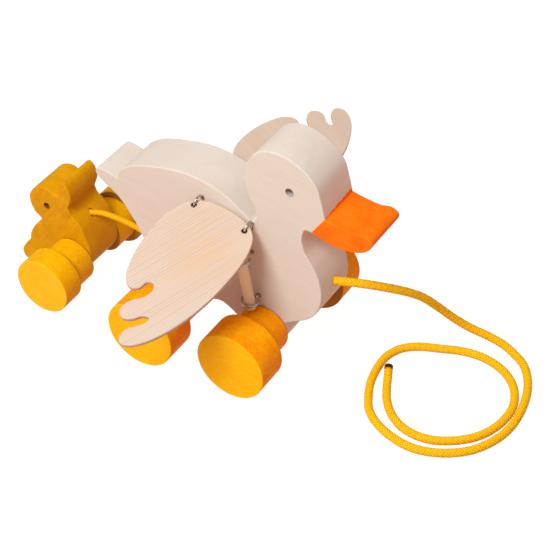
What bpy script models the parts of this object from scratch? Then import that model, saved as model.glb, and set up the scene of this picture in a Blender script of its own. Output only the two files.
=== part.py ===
"""Pull-along wooden duck with flapping wings, towing a duckling.

The duck is one sawn plank on two axles. Off-centre drums on the front axle lift two push rods, and each rod
lifts a wing that hangs on two screw eyes. Frame: +X is the way the duck faces, +Z is up, the floor is Z = 0
and the duck's own middle plane is Y = 0. Sizes below are in millimetres; MM turns them into metres.
"""

import math

import bmesh
import bpy
from mathutils import Matrix, Vector

MM = 0.001

# Fits shared by all pieces
JOINT_GAP = 0.3
RUNNING_GAP = 0.3

# How finely curves are drawn
ROUND_STEPS = 32
RIM_STEPS = 2
DOME_STEPS = 4
BORE_STEPS = 12
EDGE_SEGMENTS = 2
OUTLINE_STEP = 5.0

# Duck body: one plank, sawn to outline, edges rounded, drilled
BODY_THICKNESS = 35.0
BODY_EDGE = 0.8
EYE_DIAMETER = 6.0

# Outline of the duck seen from its right side: (x, z), and "corner" where the saw line turns sharply
NAPE = (54.8, 112.0)
DUCK_BACK = [
    (-52.4, 101.5, "corner"), (-50.4, 108.6), (-41.3, 116.2), (-22.0, 123.1), (3.8, 127.2),
    (29.6, 122.5), (46.0, 112.4), (51.6, 108.6), NAPE,
]
DUCK_CHEST = [
    (88.0, 110.5), (90.1, 100.2), (97.4, 88.8), (101.8, 77.0), (102.7, 65.3), (100.2, 54.8), (93.0, 45.2),
    (84.0, 39.2), (76.0, 33.8, "corner"),
]

# Head and beak, given from the eye, which is the middle of the head, ahead of the nape and above it
HEAD_FORWARD = 24.2
HEAD_RISE = 31.2
DUCK_HEAD = [
    (-24.4, -26.2), (-31.6, -7.9), (-31.3, 9.2), (-22.0, 22.4), (-8.0, 26.0), (7.5, 21.4), (18.3, 11.8),
    (22.8, -1.2),
]
DUCK_BEAK = [
    (25.2, -11.3, "corner"), (34.6, -13.0), (44.6, -13.8), (53.5, -12.5), (58.4, -15.8), (55.5, -22.6),
    (46.4, -27.9), (32.5, -29.3), (15.4, -25.0, "corner"),
]
DUCK_CHIN = [(11.4, -25.2)]

# Feet: round about each axle, from one angle to the other in degrees, with an arch between them
FOOT_RADIUS = 13.8
FOOT_STEPS = 6
FRONT_FOOT_SPAN = (22.0, -115.0)
REAR_FOOT_SPAN = (-65.0, -150.0)
DUCK_ARCH = [(47.6, 15.4), (38.4, 24.6), (26.0, 30.7), (13.6, 24.6), (7.0, 15.4)]
DUCK_STERN = [
    (-19.6, 20.5), (-27.0, 38.0), (-35.2, 60.5), (-44.0, 75.1), (-53.0, 86.3), (-64.0, 93.6),
    (-69.6, 98.4), (-70.4, 101.8), (-67.6, 104.3), (-62.6, 104.0),
]

# Running gear of the duck
WHEEL_RADIUS = 25.0
WHEEL_WIDTH = 24.0
WHEEL_EDGE = 0.7
AXLE_DIAMETER = 10.0
AXLE_SEAT_DEPTH = 14.0
AXLE_CHAMFER = 0.8
FRONT_AXLE_X = 62.5
REAR_AXLE_X = -4.5
FRONT_TRACK = 126.4
REAR_TRACK = 136.8

# Off-centre drums on the front axle, and plain ones that keep the rear wheels off the body
DRUM_RADIUS = 17.5
DRUM_EDGE = 0.5
CAM_OFFSET = 1.0
CAM_TURN = math.radians(210.0)
DRUM_FACE_GAP = 0.4

# Wings: thin boards, hung on two screw eyes each. The front eye's shank enters the body lower than its ring
WING_THICKNESS = 3.2
WING_EDGE = 0.7
HINGE_X, HINGE_Z = 14.3, 113.05
HINGE_SLOPE = math.radians(8.1)
HINGE_REACH = 5.2
HINGE_SPACING = 38.0
HINGE_HOLE_DIAMETER = 3.6
HINGE_HOLE_SET_IN = 0.2
FRONT_EYE_SINK = 4.0
RIGHT_WING_DROP = math.radians(14.8)
LEFT_WING_DROP = math.radians(7.65)
LOWEST_WING_DROP = math.radians(18.2)

# Outline of a wing: (along the hinge line from the rear eye, out from the hinge line)
WING_REAR_EDGE = [(3.0, -2.0), (-4.0, 2.8), (-10.4, 14.6), (-13.0, 33.0), (-11.6, 53.5), (-6.6, 69.8)]
WING_FIRST_FEATHER = [(-2.0, 74.7), (2.2, 75.6), (5.8, 72.9), (7.6, 67.2), (11.4, 66.1), (13.7, 69.6)]
WING_SECOND_FEATHER = [
    (12.4, 75.8), (5.6, 84.6), (4.4, 91.8), (8.6, 96.2), (14.0, 94.5), (19.6, 88.5), (23.2, 87.8),
]
WING_THIRD_FEATHER = [(22.6, 92.4), (15.8, 101.4), (15.0, 108.0), (18.6, 111.6), (24.3, 109.8)]
WING_FRONT_EDGE = [
    (33.2, 99.5), (41.6, 81.3), (46.9, 61.6), (49.6, 40.0), (49.5, 19.6), (45.7, 6.2), (38.4, -1.0),
    (28.0, -3.8), (16.0, -4.2), (8.4, -3.6),
]

# Screw eyes: bent wire with a straight shank in the wood
EYE_BEND = 1.0
EYE_OPENING = math.radians(38.0)
EYE_STEPS = 12
BEND_STEPS = 3
WIRE_FACETS = 1
HINGE_EYE_RADIUS = 4.25
HINGE_EYE_WIRE = 1.6
HINGE_EYE_SHANK = 11.0
GUIDE_EYE_RADIUS = 5.6
GUIDE_EYE_WIRE = 1.8
GUIDE_EYE_SHANK = 11.0

# Push rods: dowels that stand on the drums and carry the wings, each sliding in two screw eyes.
# A guide is given by its ring's centre (x, distance from the middle plane, z) and its shank's x on the body
ROD_DIAMETER = 7.0
ROD_ROUNDING = 1.6
ROD_CLEAR_OF_DRUM = 0.2
LOWER_GUIDE = (54.4, 25.4, 49.6)
LOWER_GUIDE_SHANK_X = 56.5
UPPER_GUIDE = (49.762, 28.035, 84.279)
UPPER_GUIDE_SHANK_X = 51.36
ROD_FOOT_STEP = 0.02

# Duckling: a small copy on one axle, leaning back on its tail; its drums sit a little off centre as well
DUCKLING_X, DUCKLING_Y = -91.4, -6.6
DUCKLING_THICKNESS = 32.0
DUCKLING_EDGE = 0.9
DUCKLING_EYE = (-19.8, 57.8)
DUCKLING_EYE_DIAMETER = 4.8
DUCKLING_WHEEL_RADIUS = 20.75
DUCKLING_WHEEL_WIDTH = 17.2
DUCKLING_TRACK = 106.0
DUCKLING_DRUM_RADIUS = 16.5
DUCKLING_DRUM_OFFSET = 0.8
DUCKLING_DRUM_TURN = math.radians(-35.0)
DUCKLING_AXLE_DIAMETER = 8.0
DUCKLING_AXLE_SEAT = 10.0

# Outline of the duckling in its leaning pose: (forward of its axle, up from the floor)
DUCKLING_HEAD = [
    (-25.8, 43.3), (-31.6, 49.0), (-34.6, 58.8), (-31.2, 67.6), (-21.2, 72.9), (-10.4, 69.8, "corner"),
]
DUCKLING_BEAK = [
    (-8.4, 75.2), (-7.4, 80.4), (-4.8, 83.0), (-1.8, 81.6), (0.4, 77.8), (1.3, 72.0), (-1.9, 62.4, "corner"),
]
DUCKLING_FRONT = [
    (0.2, 57.4), (4.4, 53.9), (8.6, 49.0), (11.4, 41.6), (14.2, 32.0), (14.6, 23.4), (10.4, 15.0), (3.0, 8.4),
    (-8.0, 5.2), (-24.0, 4.0), (-38.0, 1.4),
]
DUCKLING_TAIL = [
    (-44.4, 1.9), (-46.4, 7.4), (-43.4, 13.8), (-38.2, 20.8, "corner"), (-37.2, 26.4), (-32.6, 35.4),
]

# Cords: round braid; each route is a smooth line through these points
PULL_CORD_DIAMETER = 5.4
TOW_CORD_DIAMETER = 3.8
CORD_STEP = 11.0
TOW_CORD_STEP = 5.0
CORD_FACETS = 3
PULL_HOLE_X, PULL_HOLE_Z = 102.9, 70.4
PULL_HOLE_DEPTH = 22.0
PULL_CORD_SEAT = 11.0
TOW_HOLE_X, TOW_HOLE_Z = -29.3, 44.0
DUCKLING_HOLE = (5.4, 51.7)
TOW_SEAT = 1.5
TOW_HOLE_DIAMETER = 5.4
TOW_HOLE_DEPTH = 9.0
PULL_CORD_AIR = [(117.0, 4.0, 71.6), (132.0, 14.0, 67.2), (143.0, 26.0, 59.0), (149.5, 35.5, 50.2),
                 (156.0, 45.5, 37.4), (163.5, 54.0, 25.0), (173.5, 61.0, 15.2), (185.0, 66.0, 9.2),
                 (197.0, 67.0, 5.4)]
PULL_CORD_OUTER_LOOP = [(207.0, 64.2), (215.6, 57.8), (223.4, 46.6), (228.8, 32.6), (231.6, 17.0),
                        (231.8, 2.0), (228.4, -12.4), (219.8, -27.8), (208.4, -37.8), (196.6, -43.6),
                        (184.4, -45.8), (171.2, -44.0), (157.8, -38.6), (147.8, -30.8), (141.2, -20.0),
                        (136.2, -8.0), (133.4, 5.6), (133.2, 19.0), (137.6, 30.4)]
PULL_CORD_INNER_LOOP = [(146.2, 38.2), (160.0, 44.4), (174.5, 50.0), (187.0, 51.6), (200.5, 49.2),
                        (212.0, 42.6), (220.2, 33.0), (224.8, 22.0), (225.8, 10.0), (223.4, -3.0),
                        (217.4, -15.4), (207.8, -25.4), (196.2, -32.4), (184.4, -34.9), (172.6, -33.0),
                        (161.4, -26.2), (153.2, -17.0), (147.8, -7.4)]
PULL_CORD_TIP = [(143.9, 1.1, 4.4), (140.3, 9.0, 6.2)]
TOW_CORD_AIR = [(-81.0, -6.0, 53.2), (-74.6, -5.3, 54.2), (-66.0, -4.3, 53.7), (-56.6, -3.2, 52.1),
                (-47.0, -2.0, 49.2), (-37.6, -0.7, 45.7)]

# Values that follow from the sizes above
HALF_BODY = BODY_THICKNESS / 2
EYE_X = NAPE[0] + HEAD_FORWARD
EYE_Z = NAPE[1] + HEAD_RISE
HALF_FRONT_TRACK = FRONT_TRACK / 2
HALF_REAR_TRACK = REAR_TRACK / 2
HALF_DUCKLING_TRACK = DUCKLING_TRACK / 2
ROD_RADIUS = ROD_DIAMETER / 2
CAM_REACH = DRUM_RADIUS + CAM_OFFSET
HINGE_EYES = (("rear", 0.0, 0.0), ("front", HINGE_SPACING, FRONT_EYE_SINK))


def clear_scene():
    for old in list(bpy.data.objects):
        bpy.data.objects.remove(old, do_unlink=True)


def make_material(name, colour, roughness, metallic=0.0):
    made = bpy.data.materials.new(name)
    made.use_nodes = True
    shader = made.node_tree.nodes["Principled BSDF"]
    shader.inputs["Base Color"].default_value = (*colour, 1.0)
    shader.inputs["Roughness"].default_value = roughness
    shader.inputs["Metallic"].default_value = metallic
    return made


def smooth_run(points, step):
    """Points along a centripetal Catmull-Rom curve through the given ones, the last left out."""
    vectors = [Vector(p) for p in points]
    padded = [2 * vectors[0] - vectors[1], *vectors, 2 * vectors[-1] - vectors[-2]]
    found = []
    for p0, p1, p2, p3 in zip(padded, padded[1:], padded[2:], padded[3:]):
        found += curve_span(p0, p1, p2, p3, step)
    return found


def curve_span(p0, p1, p2, p3, step):
    count = max(1, round((p2 - p1).length / step))
    k1 = math.sqrt((p1 - p0).length)
    k2 = math.sqrt((p2 - p1).length)
    k3 = math.sqrt((p3 - p2).length)
    leave = (p1 - p0) / k1 - (p2 - p0) / (k1 + k2) + (p2 - p1) / k2
    arrive = (p2 - p1) / k2 - (p3 - p1) / (k2 + k3) + (p3 - p2) / k3
    span = []
    for i in range(count):
        t = i / count
        blend = t * t * (3 - 2 * t)
        bulge = leave * t * (1 - t) ** 2 - arrive * t * t * (1 - t)
        span.append(p1 * (1 - blend) + p2 * blend + k2 * bulge)
    return span


def closed_outline(points, step):
    """A closed curve through the points, sharp at each marked corner, and the place of each given point."""
    flat = [Vector(p[:2]) for p in points]
    corners = [i for i, p in enumerate(points) if len(p) > 2]
    count = len(flat)
    found = []
    places = {}
    for i in range(count):
        before, after, beyond = flat[i - 1], flat[(i + 1) % count], flat[(i + 2) % count]
        if i in corners:
            before = 2 * flat[i] - after
        if (i + 1) % count in corners:
            beyond = 2 * after - flat[i]
        places[tuple(points[i][:2])] = len(found)
        found += curve_span(before, flat[i], after, beyond, step)
    return found, places


def foot_arc(axle_x, span):
    """The round foot about an axle, from one angle to the other."""
    start, end = span
    arc = []
    for i in range(FOOT_STEPS + 1):
        angle = math.radians(start + (end - start) * i / FOOT_STEPS)
        arc.append((axle_x + FOOT_RADIUS * math.cos(angle), WHEEL_RADIUS + FOOT_RADIUS * math.sin(angle)))
    return arc


def from_eye(points):
    """Points of the head, given from the eye, as points of the whole outline."""
    return [(EYE_X + x, EYE_Z + z, *mark) for x, z, *mark in points]


def add_object(name, mesh_source, pivot, *materials):
    """Closes a bmesh, whose points are in millimetres from the pivot, into a named object there."""
    bmesh.ops.recalc_face_normals(mesh_source, faces=mesh_source.faces)
    bmesh.ops.scale(mesh_source, vec=(MM, MM, MM), verts=mesh_source.verts)
    mesh = bpy.data.meshes.new(name)
    mesh_source.to_mesh(mesh)
    mesh_source.free()
    made = bpy.data.objects.new(name, mesh)
    made.location = Vector(pivot) * MM
    for one in materials:
        mesh.materials.append(one)
    bpy.context.scene.collection.objects.link(made)
    return made


def board(name, outline, place, thickness, edge, pivot, materials, split=None):
    """A flat board of the given outline. place turns (u, v, height) into a point; edge is the rounding."""
    made = bmesh.new()
    low = [made.verts.new(place(p.x, p.y, -thickness / 2)) for p in outline]
    high = [made.verts.new(place(p.x, p.y, thickness / 2)) for p in outline]
    caps = [made.faces.new(low), made.faces.new(high)]
    for i in range(len(outline)):
        after = (i + 1) % len(outline)
        made.faces.new((low[i], low[after], high[after], high[i]))
    weights = made.edges.layers.float.new("bevel_weight_edge")
    for cap in caps:
        for rim in cap.edges:
            rim[weights] = 1.0
    if split:
        first, last = split
        for ring in (low, high):
            cap = next(f for f in ring[first].link_faces if f in ring[last].link_faces)
            bmesh.utils.face_split(cap, ring[first], ring[last])
        painted = {v for ring in (low, high) for v in ring[first:last + 1]}
        for face in made.faces:
            face.material_index = int(all(v in painted for v in face.verts))
    bored = add_object(name, made, pivot, *materials)
    bevel = bored.modifiers.new("rounded edge", "BEVEL")
    bevel.limit_method = "WEIGHT"
    bevel.width = edge * MM
    bevel.segments = EDGE_SEGMENTS
    return bored


def drill(target, bores):
    """Cuts round holes, each a start point, a direction, a radius and a length, all in millimetres."""
    made = bmesh.new()
    for start, direction, radius, length in bores:
        middle = Vector(start) + Vector(direction).normalized() * length / 2
        turn = Vector(direction).to_track_quat("Z", "Y").to_matrix().to_4x4()
        bmesh.ops.create_cone(
            made, cap_ends=True, segments=BORE_STEPS, radius1=radius, radius2=radius, depth=length,
            matrix=Matrix.Translation(middle) @ turn,
        )
    cutter = add_object(target.name + "_bores", made, (0, 0, 0))
    cutter.hide_render = True
    cutter.display_type = "WIRE"
    cut = target.modifiers.new("bores", "BOOLEAN")
    cut.operation = "DIFFERENCE"
    cut.solver = "EXACT"
    cut.object = cutter


def turned(name, profile, pivot, direction, material):
    """A solid of revolution: profile is (radius, distance along the direction), from axis to axis."""
    made = bmesh.new()
    turn = Vector(direction).to_track_quat("Z", "Y").to_matrix()
    rings = []
    for radius, along in profile:
        count = 1 if radius == 0 else ROUND_STEPS
        ring = []
        for i in range(count):
            angle = 2 * math.pi * i / count
            spot = Vector((radius * math.cos(angle), radius * math.sin(angle), along))
            ring.append(made.verts.new(turn @ spot))
        rings.append(ring)
    for lower, upper in zip(rings, rings[1:]):
        for i in range(ROUND_STEPS):
            after = (i + 1) % ROUND_STEPS
            corners = [lower[i % len(lower)], lower[after % len(lower)]]
            corners += [upper[after % len(upper)], upper[i % len(upper)]]
            made.faces.new(list(dict.fromkeys(corners)))
    return add_object(name, made, pivot, material)


def rounded_rim(radius, edge, along, sign):
    """Profile points of a rounded rim at one end of a disc; sign points out of that end."""
    points = []
    for i in range(RIM_STEPS + 1):
        angle = math.pi / 2 * i / RIM_STEPS
        points.append((radius - edge + edge * math.cos(angle), along - sign * edge * (1 - math.sin(angle))))
    return points


def wheel(name, axle, side, half_track, radius, width, axle_radius, seat, material):
    """A plain-faced wheel with a blind hole for the axle in its inner face. side is -1 right, 1 left."""
    outer = half_track
    inner = half_track - width
    rim = rounded_rim(radius, WHEEL_EDGE, outer, 1)[::-1]
    back = rounded_rim(radius, WHEEL_EDGE, inner, -1)
    bore = axle_radius + JOINT_GAP
    profile = [(0, outer), *rim, *back, (bore, inner), (bore, inner + seat), (0, inner + seat)]
    return turned(name, profile, axle, (0, side, 0), material)


def drum(name, axle, side, near, far, radius, bore, shift, material):
    """A short cylinder bored for the axle, its own centre shifted from the axle by (x, z)."""
    made = bmesh.new()
    rings = []
    for size, along in (
        (bore, near), (radius - DRUM_EDGE, near), (radius, near + DRUM_EDGE),
        (radius, far - DRUM_EDGE), (radius - DRUM_EDGE, far), (bore, far),
    ):
        off = (0, 0) if size == bore else shift
        ring = []
        for i in range(ROUND_STEPS):
            angle = 2 * math.pi * i / ROUND_STEPS
            x, z = off[0] + size * math.cos(angle), off[1] + size * math.sin(angle)
            ring.append(made.verts.new((x, side * along, z)))
        rings.append(ring)
    for lower, upper in zip(rings, rings[1:] + rings[:1]):
        for i in range(ROUND_STEPS):
            after = (i + 1) % ROUND_STEPS
            made.faces.new((lower[i], lower[after], upper[after], upper[i]))
    return add_object(name, made, axle, material)


def off_centre(distance, turn):
    """The shift (x, z) of a drum's own centre from its axle."""
    return distance * math.cos(turn), distance * math.sin(turn)


def axle_rod(name, axle, half_length, radius, material):
    profile = [
        (0, -half_length), (radius - AXLE_CHAMFER, -half_length), (radius, AXLE_CHAMFER - half_length),
        (radius, half_length - AXLE_CHAMFER), (radius - AXLE_CHAMFER, half_length), (0, half_length),
    ]
    return turned(name, profile, axle, (0, 1, 0), material)


def tube(name, points, diameter, pivot, material, facets):
    """A round wire or cord along the points, with flat ends."""
    data = bpy.data.curves.new(name, "CURVE")
    data.dimensions = "3D"
    data.bevel_depth = diameter / 2 * MM
    data.bevel_resolution = facets
    data.use_fill_caps = True
    line = data.splines.new("POLY")
    line.points.add(len(points) - 1)
    for spot, place in zip(line.points, points):
        spot.co = (*((Vector(place) - Vector(pivot)) * MM), 1.0)
    data.materials.append(material)
    made = bpy.data.objects.new(name, data)
    made.location = Vector(pivot) * MM
    bpy.context.scene.collection.objects.link(made)
    return made


def screw_eye(name, centre, out, across, radius, wire, reach, shank, pivot, material):
    """A wire eye: its shank points against out, its loop is in the plane of out and across."""
    out = Vector(out).normalized()
    across = Vector(across).normalized()
    centre = Vector(centre)
    bend_at = math.sqrt(radius * radius + 2 * radius * EYE_BEND)
    path = [centre - out * (reach + shank), centre - out * reach]
    turn_end = math.atan2(bend_at, EYE_BEND)
    for i in range(BEND_STEPS + 1):
        angle = turn_end * i / BEND_STEPS
        side = EYE_BEND * (1 - math.cos(angle))
        path.append(centre + across * side - out * (bend_at - EYE_BEND * math.sin(angle)))
    start = math.atan2(EYE_BEND, bend_at)
    sweep = 2 * math.pi - EYE_OPENING - start
    for i in range(1, EYE_STEPS + 1):
        angle = start + sweep * i / EYE_STEPS
        path.append(centre - out * radius * math.cos(angle) + across * radius * math.sin(angle))
    return tube(name, path, wire, pivot, material, WIRE_FACETS)


def wing_frame(side, drop):
    """Origin at the rear eye, then unit vectors: along the hinge line, out along the wing, up off it."""
    origin = Vector((HINGE_X, side * (HALF_BODY + HINGE_REACH), HINGE_Z))
    along = Vector((math.cos(HINGE_SLOPE), 0, -math.sin(HINGE_SLOPE)))
    level = Vector((0, side, 0))
    lift = Vector((math.sin(HINGE_SLOPE), 0, math.cos(HINGE_SLOPE)))
    out = level * math.cos(drop) - lift * math.sin(drop)
    up = level * math.sin(drop) + lift * math.cos(drop)
    return origin, along, out, up


def rod_line(side):
    """Centre of the lower guide, and the rod's direction from there to the upper one."""
    low = Vector((LOWER_GUIDE[0], side * LOWER_GUIDE[1], LOWER_GUIDE[2]))
    high = Vector((UPPER_GUIDE[0], side * UPPER_GUIDE[1], UPPER_GUIDE[2]))
    return low, (high - low).normalized()


def rod_top(side, drop):
    """How far above the lower guide the middle of the rod's round top lies, under a wing with this drop."""
    low, direction = rod_line(side)
    origin, _, _, up = wing_frame(side, drop)
    below = WING_THICKNESS / 2 + JOINT_GAP + ROD_RADIUS
    return (-below - (low - origin).dot(up)) / direction.dot(up)


def rod_foot():
    """How far below the lower guide the rod's foot is at its lowest, clear of the drum's highest reach."""
    low, direction = rod_line(1)
    side = direction.cross(Vector((0, 1, 0))).normalized()
    down = 0.0
    while True:
        rounding = low - direction * (down - ROD_ROUNDING) - side * (ROD_RADIUS - ROD_ROUNDING)
        reach = math.hypot(rounding.x - FRONT_AXLE_X, rounding.z - WHEEL_RADIUS) - ROD_ROUNDING
        if reach < CAM_REACH + ROD_CLEAR_OF_DRUM:
            return down - ROD_FOOT_STEP
        down += ROD_FOOT_STEP


def hinge_eye_line(side, eye_at, sink):
    """The ring's centre, the way from the body to it, and the distance, for a shank this much lower."""
    origin, along, level, lift = wing_frame(side, 0.0)
    out = level * HINGE_REACH + lift * sink
    return origin + along * eye_at, out.normalized(), out.length


def guide_eye_line(side, guide, shank_x):
    """The ring's centre, the way from the body to it, and the distance."""
    centre = Vector((guide[0], side * guide[1], guide[2]))
    out = centre - Vector((shank_x, side * HALF_BODY, guide[2]))
    return centre, out.normalized(), out.length


def build_duck_body(wood, stain):
    front_foot = foot_arc(FRONT_AXLE_X, FRONT_FOOT_SPAN)
    rear_foot = foot_arc(REAR_AXLE_X, REAR_FOOT_SPAN)
    beak = from_eye(DUCK_BEAK)
    head = from_eye(DUCK_HEAD) + beak + from_eye(DUCK_CHIN)
    points = DUCK_BACK + head + DUCK_CHEST + front_foot + DUCK_ARCH + rear_foot + DUCK_STERN
    outline, places = closed_outline(points, OUTLINE_STEP)
    stained = (places[beak[0][:2]], places[beak[-1][:2]])
    body = board(
        "duck_body", outline, lambda x, z, y: (x, y, z), BODY_THICKNESS, BODY_EDGE, (0, 0, 0),
        (wood, stain), stained,
    )
    axle_bore = AXLE_DIAMETER / 2 + RUNNING_GAP
    across = (0, 1, 0)
    past = BODY_THICKNESS * 2
    bores = [
        ((EYE_X, -past / 2, EYE_Z), across, EYE_DIAMETER / 2, past),
        ((FRONT_AXLE_X, -past / 2, WHEEL_RADIUS), across, axle_bore, past),
        ((REAR_AXLE_X, -past / 2, WHEEL_RADIUS), across, axle_bore, past),
        ((PULL_HOLE_X + PULL_HOLE_DEPTH, 0, PULL_HOLE_Z), (-1, 0, 0), PULL_CORD_DIAMETER / 2 + JOINT_GAP,
         2 * PULL_HOLE_DEPTH),
        ((TOW_HOLE_X - TOW_HOLE_DEPTH, 0, TOW_HOLE_Z), (1, 0, 0), TOW_HOLE_DIAMETER / 2, 2 * TOW_HOLE_DEPTH),
    ]
    for side in (-1, 1):
        for _, eye_at, sink in HINGE_EYES:
            centre, out, reach = hinge_eye_line(side, eye_at, sink)
            bores.append((centre, -out, HINGE_EYE_WIRE / 2 + JOINT_GAP, reach + HINGE_EYE_SHANK + JOINT_GAP))
        for guide, shank_x in ((LOWER_GUIDE, LOWER_GUIDE_SHANK_X), (UPPER_GUIDE, UPPER_GUIDE_SHANK_X)):
            centre, out, reach = guide_eye_line(side, guide, shank_x)
            bores.append((centre, -out, GUIDE_EYE_WIRE / 2 + JOINT_GAP, reach + GUIDE_EYE_SHANK + JOINT_GAP))
    drill(body, bores)


def build_wing(label, side, drop, wood, steel):
    origin, along, out, up = wing_frame(side, drop)
    points = WING_REAR_EDGE + WING_FIRST_FEATHER + WING_SECOND_FEATHER + WING_THIRD_FEATHER + WING_FRONT_EDGE
    outline, _ = closed_outline(points, OUTLINE_STEP)
    plate = board(
        label + "_wing", outline, lambda u, v, w: along * u + out * v + up * w,
        WING_THICKNESS, WING_EDGE, origin, (wood,),
    )
    bores = []
    deep = WING_THICKNESS * 2
    for _, eye_at, _ in HINGE_EYES:
        hole = origin + along * eye_at + out * (HINGE_EYE_RADIUS - HINGE_HOLE_SET_IN) - up * deep / 2
        bores.append((hole, up, HINGE_HOLE_DIAMETER / 2, deep))
    drill(plate, bores)
    for which, eye_at, sink in HINGE_EYES:
        centre, away, reach = hinge_eye_line(side, eye_at, sink)
        screw_eye(
            label + "_wing_" + which + "_hinge_eye", centre, away, along.cross(away) * side, HINGE_EYE_RADIUS,
            HINGE_EYE_WIRE, reach, HINGE_EYE_SHANK, centre, steel,
        )


def build_push_rod(label, side, drop, wood, steel):
    """A rod with a rounded foot and a round top, and its two guides. It stands higher under a high wing."""
    low, direction = rod_line(side)
    right_top = rod_top(-1, RIGHT_WING_DROP)
    per_radian = (rod_top(-1, LEFT_WING_DROP) - right_top) / (RIGHT_WING_DROP - LEFT_WING_DROP)
    lifted = (LOWEST_WING_DROP - RIGHT_WING_DROP) * per_radian
    straight = right_top + rod_foot() - lifted
    foot = low + direction * ((LOWEST_WING_DROP - drop) * per_radian - rod_foot())
    profile = [(0, 0), *rounded_rim(ROD_RADIUS, ROD_ROUNDING, 0, -1)[::-1]]
    for i in range(DOME_STEPS):
        angle = math.pi / 2 * i / DOME_STEPS
        profile.append((ROD_RADIUS * math.cos(angle), straight + ROD_RADIUS * math.sin(angle)))
    profile.append((0, straight + ROD_RADIUS))
    turned(label + "_push_rod", profile, foot, direction, wood)
    for which, guide, shank_x in (
        ("lower", LOWER_GUIDE, LOWER_GUIDE_SHANK_X), ("upper", UPPER_GUIDE, UPPER_GUIDE_SHANK_X),
    ):
        centre, out, reach = guide_eye_line(side, guide, shank_x)
        across = Vector((0, 0, side)).cross(out)
        screw_eye(
            label + "_rod_" + which + "_guide_eye", centre, out, across, GUIDE_EYE_RADIUS, GUIDE_EYE_WIRE,
            reach, GUIDE_EYE_SHANK, centre, steel,
        )


def build_running_gear(wood, orange):
    axle_radius = AXLE_DIAMETER / 2
    bore = axle_radius + JOINT_GAP
    shift = off_centre(CAM_OFFSET, CAM_TURN)
    front = ("front", FRONT_AXLE_X, HALF_FRONT_TRACK)
    rear = ("rear", REAR_AXLE_X, HALF_REAR_TRACK)
    for place, x, half_track in (front, rear):
        axle = (x, 0, WHEEL_RADIUS)
        inner = half_track - WHEEL_WIDTH
        axle_rod(place + "_axle", axle, inner + AXLE_SEAT_DEPTH - JOINT_GAP, axle_radius, wood)
        for label, side in (("right", -1), ("left", 1)):
            wheel(
                label + "_" + place + "_wheel", axle, side, half_track, WHEEL_RADIUS, WHEEL_WIDTH,
                axle_radius, AXLE_SEAT_DEPTH, orange,
            )
            near = HALF_BODY + DRUM_FACE_GAP
            far = inner - JOINT_GAP
            if place == "front":
                off = (-side * shift[0], -side * shift[1])
                drum(label + "_wing_cam", axle, side, near, far, DRUM_RADIUS, bore, off, orange)
            else:
                drum(label + "_rear_spacer", axle, side, near, far, DRUM_RADIUS, bore, (0, 0), orange)


def build_duckling(yellow, wood):
    pivot = (DUCKLING_X, DUCKLING_Y, DUCKLING_WHEEL_RADIUS)
    points = DUCKLING_HEAD + DUCKLING_BEAK + DUCKLING_FRONT + DUCKLING_TAIL
    outline, _ = closed_outline(points, OUTLINE_STEP)
    body = board(
        "duckling_body", outline, lambda x, z, y: (x, y, z - DUCKLING_WHEEL_RADIUS),
        DUCKLING_THICKNESS, DUCKLING_EDGE, pivot, (yellow,),
    )
    axle_radius = DUCKLING_AXLE_DIAMETER / 2
    past = DUCKLING_THICKNESS * 2
    start_y = DUCKLING_Y - past / 2
    eye = (DUCKLING_X + DUCKLING_EYE[0], start_y, DUCKLING_EYE[1])
    drill(body, [
        (eye, (0, 1, 0), DUCKLING_EYE_DIAMETER / 2, past),
        ((DUCKLING_X, start_y, DUCKLING_WHEEL_RADIUS), (0, 1, 0), axle_radius + RUNNING_GAP, past),
        ((DUCKLING_X + DUCKLING_HOLE[0] + TOW_HOLE_DEPTH, DUCKLING_Y, DUCKLING_HOLE[1]), (-1, 0, 0),
         TOW_HOLE_DIAMETER / 2, 2 * TOW_HOLE_DEPTH),
    ])
    inner = HALF_DUCKLING_TRACK - DUCKLING_WHEEL_WIDTH
    near = DUCKLING_THICKNESS / 2 + DRUM_FACE_GAP
    shift = off_centre(DUCKLING_DRUM_OFFSET, DUCKLING_DRUM_TURN)
    axle_rod("duckling_axle", pivot, inner + DUCKLING_AXLE_SEAT - JOINT_GAP, axle_radius, wood)
    for label, side in (("right", -1), ("left", 1)):
        wheel(
            "duckling_" + label + "_wheel", pivot, side, HALF_DUCKLING_TRACK, DUCKLING_WHEEL_RADIUS,
            DUCKLING_WHEEL_WIDTH, axle_radius, DUCKLING_AXLE_SEAT, yellow,
        )
        drum(
            "duckling_" + label + "_drum", pivot, side, near, inner - JOINT_GAP, DUCKLING_DRUM_RADIUS,
            axle_radius + JOINT_GAP, (-side * shift[0], -side * shift[1]), yellow,
        )


def build_cords(pull_braid, tow_braid):
    rest = PULL_CORD_DIAMETER / 2
    floor = [(x, y, rest) for x, y in PULL_CORD_OUTER_LOOP + PULL_CORD_INNER_LOOP]
    mouth = (PULL_HOLE_X, 0, PULL_HOLE_Z)
    route = [(PULL_HOLE_X - PULL_CORD_SEAT, 0, PULL_HOLE_Z), mouth, *PULL_CORD_AIR, *floor, *PULL_CORD_TIP]
    line = [*smooth_run(route, CORD_STEP), Vector(route[-1])]
    tube("pull_cord", line, PULL_CORD_DIAMETER, mouth, pull_braid, CORD_FACETS)
    duckling_mouth = (DUCKLING_X + DUCKLING_HOLE[0], DUCKLING_Y, DUCKLING_HOLE[1])
    duck_mouth = (TOW_HOLE_X, 0, TOW_HOLE_Z)
    route = [
        (duckling_mouth[0] - TOW_SEAT, duckling_mouth[1], duckling_mouth[2]), duckling_mouth, *TOW_CORD_AIR,
        duck_mouth, (TOW_HOLE_X + TOW_SEAT, 0, TOW_HOLE_Z),
    ]
    line = [*smooth_run(route, TOW_CORD_STEP), Vector(route[-1])]
    tube("tow_cord", line, TOW_CORD_DIAMETER, duck_mouth, tow_braid, CORD_FACETS)


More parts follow.
